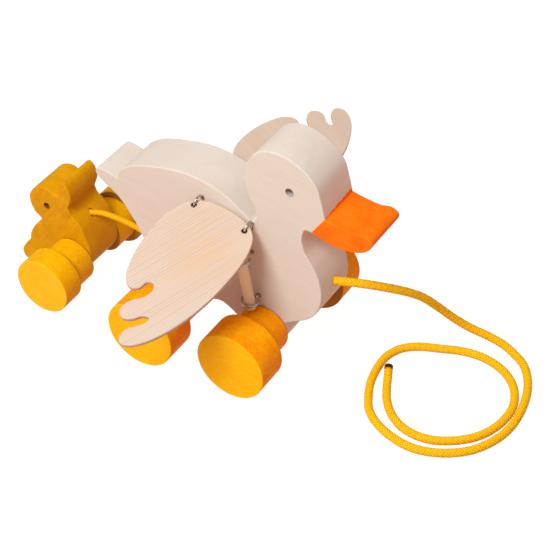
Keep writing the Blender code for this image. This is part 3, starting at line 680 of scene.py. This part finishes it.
def wing_wood(side):
    """Softwood with plain lines, a reddish heart in the middle, and painted shade on its edges and in its hinge holes.
    """
    if side == "right":
        light, angle, shift, contrast = (0.672, 0.556, 0.462), -111.8, 31, 0.76
    else:
        light, angle, shift, contrast = (0.755, 0.605, 0.475), -150.0, 83, 0.25
    shade, place, colour = plain_wood(
        "wing_softwood_" + side, light, (0.61, 0.30, 0.115), (0.69, 0.50, 0.355), turn=(0, 0, math.radians(angle)),
        shift=(0, shift, 0), gap=2.05, pith=(-260, 20), sway=3.5, contrast=contrast, streak=0.09, specks=0.04,
        faint=0.36,
    )
    # Painted shade: the narrow sawn edges, which face sideways, are darkened towards brown
    colour = shade.mix(shade.fit(shade.facing(2), 0.0, 1.0, 0.55, 0.0), colour, (0.62, 0.40, 0.27))
    u, v, _ = shade.split(shade.local())
    streaks = shade.fit(shade.noise(place, (0.02, 0.45, 0.45), 3.0, 0.6), 0.42, 0.62, 0.0, 0.75)
    heart = shade.math("MULTIPLY", shade.rings(u, v, [(22, 30)], 5, 38), streaks)
    colour = shade.mix(heart, colour, (0.70, 0.44, 0.25))
    # Painted shade in and round the hinge holes
    mouths = [(eye_at, HINGE_HOLE_OUT) for _, eye_at, _ in HINGE_EYES]
    colour = shade.mix(shade.rings(u, v, mouths, 1.75, 2.3), colour, PAINTED_SHADE_BROWN)
    shade.set(base_color=colour)
    return shade.material


def dowel_wood():
    shade, _, colour = plain_wood(
        "dowel", (0.98, 0.77, 0.54), (0.76, 0.50, 0.30), (0.92, 0.68, 0.45), turn=(0, 0, math.radians(-90)), gap=1.1,
        pith=(6, 9), sway=4.0, contrast=0.45, streak=0.25,
    )
    shade.set(base_color=colour)
    return shade.material


def turned_stain(name, face, face_deep, side, side_deep, lines, figure, seams):
    """Stained wood from the lathe: mottled end faces, cutter lines round the side, painted shade where pieces meet.

    lines is the strength of the cutter lines, figure is the strength of the year rings on the faces, and
    seams are the distances from the middle of the axle where the painted shade between pieces lies.
    """
    shade = Shade(name)
    place, line, fibre, _ = grain(shade, (0, 0, math.radians(12)), (0, 0, 0), 2.2, (30, 75), 4.0, 0.1)
    flat = shade.facing(1)
    light, deep = shade.mix(flat, side, face), shade.mix(flat, side_deep, face_deep)
    colour, fine = stain(shade, place, (0.2, 0.9, 0.9), light, deep, 0.35)
    x, y, z = shade.split(shade.local())
    radius = shade.math("SQRT", shade.math("ADD", shade.math("MULTIPLY", x, x), shade.math("MULTIPLY", z, z)))
    lathe = shade.node("TexNoise", {"W": shade.math("MULTIPLY_ADD", y, 1.7, radius), "Scale": 1.3, "Detail": 3.0},
                       noise_dimensions="1D").outputs["Fac"]
    cut = shade.math("MULTIPLY", shade.fit(lathe, 0.38, 0.5, lines, 0.0), shade.fit(flat, 0.0, 1.0, 1.0, 0.15))
    dark = shade.math("MULTIPLY_ADD", line, shade.fit(flat, 0.0, 1.0, 0.12, figure), cut)
    colour = shade.mix(dark, colour, (side_deep[0] * 0.85, side_deep[1] * 0.6, side_deep[2]))
    # Painted shade at each seam, where drum, wheel and body meet
    for seam in seams:
        off = shade.math("ABSOLUTE", shade.math("SUBTRACT", shade.math("ABSOLUTE", y), seam))
        colour = shade.mix(shade.fit(off, 0.25, 0.9, 0.75, 0.0), colour, PAINTED_SHADE_BROWN)
    colour = shade.specks(place, colour, (0.09, 0.09, 0.09), 0.10, tuple(c * 0.12 for c in side_deep))
    shade.set(base_color=colour, roughness=shade.fit(fine, 0.2, 0.8, 0.5, 0.68), specular_ior_level=0.05)
    shade.bump(shade.math("ADD", shade.math("MULTIPLY", fibre, 0.5), lathe), 0.3, 0.12)
    return shade.material


def duckling_wood():
    """Plank stained yellow, with the grain on the slant and painted shade in the eye hole."""
    shade = Shade("yellow_plank")
    place, line, fibre, _ = grain(shade, (0, math.radians(56), 0), (0, 0, 40), 1.7, (60, -220), 4.0, 0.1)
    colour, fine = stain(shade, place, (0.09, 1.1, 1.1), (0.75, 0.355, 0.001), (0.61, 0.255, 0.001), 0.5)
    colour = shade.mix(shade.math("MULTIPLY", line, 0.07), colour, (0.62, 0.24, 0.002))
    x, _, z = shade.split(shade.local())
    spot = (DUCKLING_EYE[0], DUCKLING_EYE[1] - DUCKLING[2])
    # Painted shade on the wall of the eye hole
    eye = shade.rings(x, z, [spot], DUCKLING_EYE_RADIUS + 0.02, DUCKLING_EYE_RADIUS + 0.25)
    colour = shade.mix(shade.math("MULTIPLY", eye, 0.85), colour, PAINTED_SHADE_BROWN)
    shade.set(base_color=colour, roughness=shade.fit(fine, 0.2, 0.8, 0.5, 0.68), specular_ior_level=0.05)
    shade.bump(shade.math("SUBTRACT", fibre, shade.math("MULTIPLY", line, 0.4)), 0.3, 0.13)
    return shade.material


def bright_wire():
    shade = Shade("bright_wire")
    local = shade.local()
    cloud = shade.noise(local, 0.9, 3.0)
    fine = shade.noise(local, 6.0, 2.0)
    shade.set(
        base_color=shade.mix(shade.fit(cloud, 0.3, 0.7, 0.0, 1.0), (0.62, 0.58, 0.52), (0.42, 0.37, 0.31)),
        roughness=shade.fit(fine, 0.3, 0.7, 0.2, 0.38), metallic=1.0,
    )
    shade.bump(fine, 0.12, 0.05)
    return shade.material


def cord_braid(name, light, deep, burnt):
    """Braided yarn: painted shade in the braid's valleys, fine fibres, and a heat-sealed dark end if burnt is set."""
    shade = Shade(name)
    local = shade.local()
    lift = shade.node("Attribute", {}, attribute_name="lift").outputs["Fac"]
    fuzz = shade.noise(local, 2.6, 3.0, 0.7)
    tone = shade.noise(local, 0.12, 2.0)
    # Painted shade: where the braid is low (valleys) it takes the deep colour, and the crowns keep the yarn's colour
    high = shade.fit(shade.math("MULTIPLY_ADD", fuzz, 0.3, lift), 0.7, 1.15, 0.0, 1.0)
    colour = shade.mix(high, deep, light)
    colour = shade.mix(shade.fit(tone, 0.35, 0.7, 0.0, 0.15), colour, tuple(c * 0.8 for c in light))
    if burnt:
        travel = shade.node("Attribute", {}, attribute_name="travel").outputs["Fac"]
        edge = shade.math("MULTIPLY_ADD", fuzz, 0.004, travel)
        colour = shade.mix(shade.fit(edge, 0.9955, 0.9985, 0.0, 1.0), colour, (0.05, 0.018, 0.006))
    shade.set(base_color=colour, roughness=0.85, specular_ior_level=0.05)
    shade.bump(fuzz, 0.5, 0.15)
    return shade.material


# Placing

def settle(piece, node, body):
    """Rides the piece on its body, in place of the CAD node."""
    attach(piece, body)
    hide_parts(node)


def wing_frame(side, drop):
    """The hinge's place, and the ways along the hinge, out along the wing and up from it, at an angle of drop."""
    origin = Vector((HINGE[0], side * HINGE[1], HINGE[2]))
    along = Vector((math.cos(HINGE_SLOPE), 0, -math.sin(HINGE_SLOPE)))
    lift = Vector((math.sin(HINGE_SLOPE), 0, math.cos(HINGE_SLOPE)))
    level = Vector((0, side, 0))
    out = level * math.cos(drop) - lift * math.sin(drop)
    up = level * math.sin(drop) + lift * math.cos(drop)
    return origin, along, out, up


def hinge_line(side, eye_at, sink):
    """A hinge ring's centre, the way from the body to it, and the distance, for a shank lower by sink."""
    origin, along, level, lift = wing_frame(side, 0.0)
    out = level * HINGE_REACH + lift * sink
    return origin + along * eye_at, out.normalized(), out.length


def guide_line(side, guide, shank_x):
    """A guide ring's centre, the way from the body to it, and the distance."""
    centre = Vector((guide[0], side * guide[1], guide[2]))
    out = centre - Vector((shank_x, side * HALF_BODY, guide[2]))
    return centre, out.normalized(), out.length


def build_duck(wood, wing_woods, dowel, steel):
    points = DUCK_BACK + DUCK_HEAD + DUCK_BEAK + DUCK_CHEST + foot_arc(FRONT_AXLE_X, 22.0, -115.0)
    points += DUCK_ARCH + foot_arc(REAR_AXLE_X, -65.0, -150.0) + DUCK_STERN
    through = 4 * HALF_BODY
    start = -through / 2
    bores = [
        ((EYE[0], start, EYE[1]), (0, 1, 0), EYE_RADIUS, through),
        ((FRONT_AXLE_X, start, WHEEL_RADIUS), (0, 1, 0), AXLE_RADIUS + GAP, through),
        ((REAR_AXLE_X, start, WHEEL_RADIUS), (0, 1, 0), AXLE_RADIUS + GAP, through),
        ((PULL_HOLE[0] + 22, 0, PULL_HOLE[2]), (-1, 0, 0), PULL_RADIUS + GAP, 44.0),
        ((TOW_MOUTH[0] - 9, 0, TOW_MOUTH[2]), (1, 0, 0), TOW_BORE, 18.0),
    ]
    for side in (-1, 1):
        for _, eye_at, sink in HINGE_EYES:
            centre, out, reach = hinge_line(side, eye_at, sink)
            bores.append((centre, -out, HINGE_WIRE / 2 + GAP, reach + SHANK_BORE))
        for _, guide, shank_x in GUIDES:
            centre, out, reach = guide_line(side, guide, shank_x)
            bores.append((centre, -out, GUIDE_WIRE / 2 + GAP, reach + SHANK_BORE))
    plank = board(
        "duck_plank", closed_outline(points), lambda x, z, y: (x, y, z), 2 * HALF_BODY, 0.8, Matrix.Identity(4),
        wood, bores,
    )
    settle(plank, "duck_body", "duck")
    for label, side, drop in (("right", -1, RIGHT_DROP), ("left", 1, LEFT_DROP)):
        build_wing(label, side, drop, wing_woods[label], steel)
        build_rod(label, side, dowel, steel)


def build_wing(label, side, drop, wood, steel):
    origin, along, out, up = wing_frame(side, drop)
    bores = []
    for _, eye_at, _ in HINGE_EYES:
        bores.append((origin + along * eye_at + out * HINGE_HOLE_OUT - up * 4, up, HINGE_HOLE_RADIUS, 8.0))
    plate = board(
        label + "_wing_board", closed_outline(WING), lambda u, v, w: (u, v, w), WING_THICKNESS, 0.7,
        at(origin, (along, out, up)), wood, bores,
    )
    settle(plate, label + "_wing", label + "_wing")
    for which, eye_at, sink in HINGE_EYES:
        node = label + "_wing_" + which + "_hinge_eye"
        centre, away, reach = hinge_line(side, eye_at, sink)
        across = along.cross(away) * side
        eye = screw_eye(node + "_wire", centre, away, across, HINGE_RING, HINGE_WIRE, reach, steel)
        settle(eye, node, "duck")


def build_rod(label, side, wood, steel):
    """A push rod, as long as its solid, and its two guide eyes."""
    low = Vector((LOWER_GUIDE[0], side * LOWER_GUIDE[1], LOWER_GUIDE[2]))
    high = Vector((UPPER_GUIDE[0], side * UPPER_GUIDE[1], UPPER_GUIDE[2]))
    direction = (high - low).normalized()
    places = [(v.co / MM - low).dot(direction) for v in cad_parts[label + "_push_rod"].data.vertices]
    beside = direction.orthogonal().normalized()
    matrix = at(low, (beside, direction, beside.cross(direction)))
    stick = rod(
        label + "_push_dowel", min(places), max(places) - min(places) - ROD_RADIUS, ROD_RADIUS, ROD_ROUNDING, True,
        matrix, wood,
    )
    settle(stick, label + "_push_rod", label + "_push_rod")
    for which, guide, shank_x in GUIDES:
        centre, out, reach = guide_line(side, guide, shank_x)
        node = label + "_rod_" + which + "_guide_eye"
        across = Vector((0, 0, side)).cross(out)
        eye = screw_eye(node + "_wire", centre, out, across, GUIDE_RING, GUIDE_WIRE, reach, steel)
        settle(eye, node, "duck")


def build_running_gear(dowel, oranges):
    shift = (CAM_OFFSET * math.cos(CAM_TURN), CAM_OFFSET * math.sin(CAM_TURN))
    front = ("front", FRONT_AXLE_X, HALF_FRONT_TRACK)
    rear = ("rear", REAR_AXLE_X, HALF_REAR_TRACK)
    for place, x, half_track in (front, rear):
        axle = (x, 0, WHEEL_RADIUS)
        body = place + "_axle_set"
        inner = half_track - WHEEL_WIDTH
        wood = oranges[place]
        half = inner + AXLE_SEAT - GAP
        stick = rod(place + "_axle_dowel", -half, 2 * half, AXLE_RADIUS, AXLE_EDGE, False, at(axle), dowel)
        settle(stick, place + "_axle", body)
        for label, side in SIDES:
            node = label + "_" + place + "_wheel"
            disc = wheel(
                node + "_disc", axle, side, half_track, WHEEL_RADIUS, WHEEL_WIDTH, AXLE_RADIUS, AXLE_SEAT, wood
            )
            settle(disc, node, body)
            node = label + ("_wing_cam" if place == "front" else "_rear_spacer")
            off = (-side * shift[0], -side * shift[1]) if place == "front" else (0.0, 0.0)
            ring = drum(
                node + "_disc", axle, side, HALF_BODY + DRUM_CLEARANCE, inner - GAP, DRUM_RADIUS, AXLE_RADIUS + GAP,
                off, wood,
            )
            settle(ring, node, body)


def build_duckling(dowel, plank_wood, yellow):
    x, y, z = DUCKLING
    through = 2 * DUCKLING_THICKNESS
    start = y - through / 2
    axle_bore = DUCKLING_AXLE_RADIUS + GAP
    bores = [
        ((x + DUCKLING_EYE[0], start, DUCKLING_EYE[1]), (0, 1, 0), DUCKLING_EYE_RADIUS, through),
        ((x, start, z), (0, 1, 0), axle_bore, through),
        ((DUCKLING_MOUTH[0] + 9, y, DUCKLING_MOUTH[2]), (-1, 0, 0), TOW_BORE, 18.0),
    ]
    plank = board(
        "duckling_plank", closed_outline(DUCKLING_OUTLINE), lambda u, v, w: (u, w, v - z), DUCKLING_THICKNESS, 0.9,
        at(DUCKLING), plank_wood, bores,
    )
    settle(plank, "duckling_body", "duckling")
    inner = HALF_DUCKLING_TRACK - DUCKLING_WHEEL_WIDTH
    shift = (DUCKLING_CAM_OFFSET * math.cos(DUCKLING_CAM_TURN), DUCKLING_CAM_OFFSET * math.sin(DUCKLING_CAM_TURN))
    half = inner + DUCKLING_AXLE_SEAT - GAP
    stick = rod(
        "duckling_axle_dowel", -half, 2 * half, DUCKLING_AXLE_RADIUS, AXLE_EDGE, False, at(DUCKLING), dowel
    )
    settle(stick, "duckling_axle", "duckling_axle_set")
    for label, side in SIDES:
        node = "duckling_" + label + "_wheel"
        disc = wheel(
            node + "_disc", DUCKLING, side, HALF_DUCKLING_TRACK, z, DUCKLING_WHEEL_WIDTH, DUCKLING_AXLE_RADIUS,
            DUCKLING_AXLE_SEAT, yellow,
        )
        settle(disc, node, "duckling_axle_set")
        node = "duckling_" + label + "_drum"
        off = (-side * shift[0], -side * shift[1])
        ring = drum(
            node + "_disc", DUCKLING, side, DUCKLING_DRUM_NEAR, inner - GAP, DUCKLING_DRUM_RADIUS, axle_bore, off,
            yellow,
        )
        settle(ring, node, "duckling_axle_set")


def build_cords():
    floor = [(x, y, PULL_RADIUS) for x, y in PULL_FLOOR]
    line, length = even_run(smooth_run([*PULL_AIR, *floor, *PULL_TIP], PULL_STEP), PULL_STEP)
    for spot in line:
        spot.z = max(spot.z, PULL_RADIUS + YARN_PROUD)
    # The second colour is the painted shade of the braid's valleys
    material = cord_braid("pull_cord_yarn", (1.0, 0.665, 0.012), (0.87, 0.32, 0.002), True)
    cord = sweep("pull_cord_braid", line, PULL_RADIUS + YARN_PROUD, 36, Matrix.Identity(4), material, braid(8, 2.3))
    settle(cord, "pull_cord", "duck")
    inside = [(DUCKLING_MOUTH[0] - TOW_SEAT, *DUCKLING_MOUTH[1:]), DUCKLING_MOUTH, *TOW_AIR, TOW_MOUTH]
    inside.append((TOW_MOUTH[0] + TOW_SEAT, 0, TOW_MOUTH[2]))
    line, length = even_run(smooth_run(inside, TOW_STEP), TOW_STEP)
    line.reverse()
    # The second colour is the painted shade of the braid's valleys
    material = cord_braid("tow_cord_yarn", (1.0, 0.62, 0.007), (0.76, 0.26, 0.002), False)
    cord = sweep("tow_cord_braid", line, TOW_RADIUS + YARN_PROUD, 32, Matrix.Identity(4), material, braid(7, 1.8))
    settle(cord, "tow_cord", "tow_cord")


# Camera, light and floor

def aim(thing, target):
    thing.rotation_euler = (Vector(target) - thing.location).to_track_quat("-Z", "Y").to_euler()


def build_world(scene):
    """A dim pale sky above and a warmer, brighter glow below."""
    world = bpy.data.worlds.new("studio")
    world.use_nodes = True
    tree = world.node_tree
    place = tree.nodes.new("ShaderNodeTexCoord")
    parts = tree.nodes.new("ShaderNodeSeparateXYZ")
    blend = tree.nodes.new("ShaderNodeValToRGB")
    tree.links.new(place.outputs["Generated"], parts.inputs[0])
    tree.links.new(parts.outputs[2], blend.inputs[0])
    tree.links.new(blend.outputs[0], tree.nodes["Background"].inputs["Color"])
    low, high = blend.color_ramp.elements
    low.position, low.color = 0.0, (0.74, 0.46, 0.36, 1.0)
    high.position, high.color = 0.12, (0.50, 0.41, 0.41, 1.0)
    scene.world = world


def build_backdrop(material):
    """A wall all round that curves up from the floor. Only the camera sees it, so it changes no light."""
    steps, sides = 9, 64
    made = bmesh.new()
    profile = []
    for i in range(steps + 1):
        angle = math.pi / 2 * i / steps
        profile.append((WALL_RADIUS - WALL_BEND * (1 - math.sin(angle)), WALL_BEND * (1 - math.cos(angle))))
    profile.append((WALL_RADIUS, WALL_HEIGHT))
    rings = []
    for radius, height in profile:
        turns = [2 * math.pi * j / sides for j in range(sides)]
        rings.append([made.verts.new((radius * math.cos(t), radius * math.sin(t), height)) for t in turns])
    for low, high in zip(rings, rings[1:]):
        for j in range(sides):
            made.faces.new((low[j], low[j - 1], high[j - 1], high[j]))
    wall = add_piece("backdrop", made, at((0, 0, 0)), material)
    wall.visible_diffuse = wall.visible_glossy = wall.visible_shadow = False


def build_stage():
    scene = bpy.context.scene
    lens = bpy.data.cameras.new("camera")
    lens.lens = CAMERA_LENS
    lens.sensor_width = 36.0
    lens.sensor_fit = "HORIZONTAL"
    camera = bpy.data.objects.new("camera", lens)
    camera.location = CAMERA_PLACE
    scene.collection.objects.link(camera)
    aim(camera, CAMERA_TARGET)
    scene.camera = camera
    lamp = bpy.data.lights.new("key_light", "AREA")
    lamp.size = KEY_SIZE
    lamp.energy = KEY_POWER
    lamp.color = (0.90, 1.0, 1.05)
    key = bpy.data.objects.new("key_light", lamp)
    key.location = KEY_PLACE
    scene.collection.objects.link(key)
    aim(key, KEY_TARGET)
    build_world(scene)
    scene.view_settings.view_transform = "Standard"
    made = bmesh.new()
    bmesh.ops.create_grid(made, x_segments=4, y_segments=4, size=FLOOR_HALF)
    shade = Shade("floor")
    shade.set(base_color=(0.12, 0.12, 0.12), roughness=0.9, specular_ior_level=0.0)
    shade.shader.inputs["Emission Color"].default_value = (1.0, 1.0, 1.0, 1.0)
    shade.shader.inputs["Emission Strength"].default_value = FLOOR_GLOW
    floor = add_piece("floor", made, at((0, 0, -FLOOR_DROP)), shade.material)
    floor.visible_diffuse = False
    build_backdrop(shade.material)


def build():
    build_stage()
    build_cords()
    steel = bright_wire()
    dowel = dowel_wood()
    oranges = {}
    for place, half_track in (("front", HALF_FRONT_TRACK), ("rear", HALF_REAR_TRACK)):
        oranges[place] = turned_stain(
            "orange_stain_" + place, (1.0, 0.57, 0.001), (1.0, 0.43, 0.001), (1.0, 0.468, 0.001), (0.95, 0.228, 0.001),
            0.42, 0.07, (HALF_BODY + DRUM_CLEARANCE, half_track - WHEEL_WIDTH),
        )
    yellow = turned_stain(
        "yellow_stain", (1.0, 0.57, 0.02), (0.97, 0.49, 0.008), (0.96, 0.52, 0.002), (0.80, 0.36, 0.001), 0.35, 0.05,
        (DUCKLING_DRUM_NEAR, HALF_DUCKLING_TRACK - DUCKLING_WHEEL_WIDTH),
    )
    build_duck(duck_wood(), {"right": wing_wood("right"), "left": wing_wood("left")}, dowel, steel)
    build_running_gear(dowel, oranges)
    build_duckling(dowel, duckling_wood(), yellow)


build()
